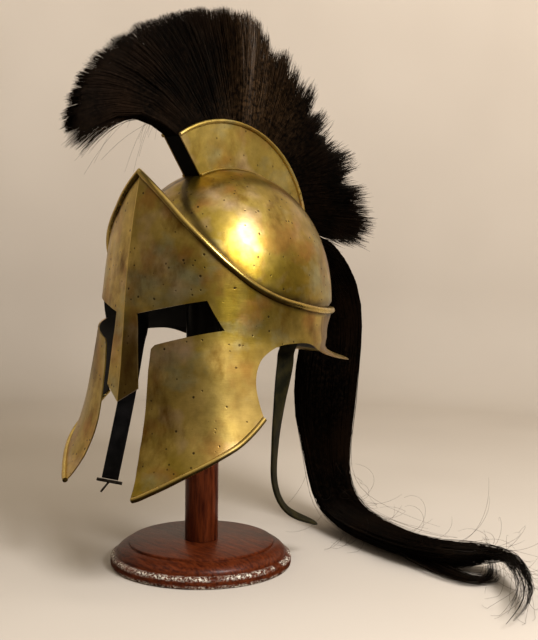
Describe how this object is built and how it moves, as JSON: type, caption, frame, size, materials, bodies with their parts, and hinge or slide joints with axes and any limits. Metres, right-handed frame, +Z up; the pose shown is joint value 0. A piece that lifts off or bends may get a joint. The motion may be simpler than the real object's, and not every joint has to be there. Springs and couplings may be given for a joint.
{
  "type": "corinthian helmet on a display stand",
  "caption": "Brass Corinthian helmet with a fanned horsehair crest and a long horsehair tail, held on a plain turned wooden stand.",
  "frame": {"origin": "centre of the underside of the stand's base, on the table", "axes": "+Z up, -Y the way the helmet faces, +X the helmet's left side"},
  "size_m": [0.4408, 0.3995, 0.5466],
  "materials": {
    "brass": "worn satin, tarnished in clouds",
    "dark_block": "matt black paint",
    "horsehair": "black hair with a brown sheen",
    "olive_leather": "worn, with two dark edge lines",
    "black_leather": "worn matt",
    "dark_steel": "dull, darkened",
    "mahogany": "dark red varnish, chipped at the rim"
  },
  "bodies": {
    "root": {"skull": "brass", "face_mask": "brass", "crest_block": "dark_block", "crest_plate_left": "brass", "crest_plate_right": "brass", "crest_hair": "horsehair", "tail_hair": "horsehair", "strap_left": "olive_leather", "strap_right": "black_leather", "strap_buckle": "dark_steel", "stand_base": "mahogany", "stand_post": "mahogany", "stand_cap": "mahogany"}
  },
  "joints": []
}
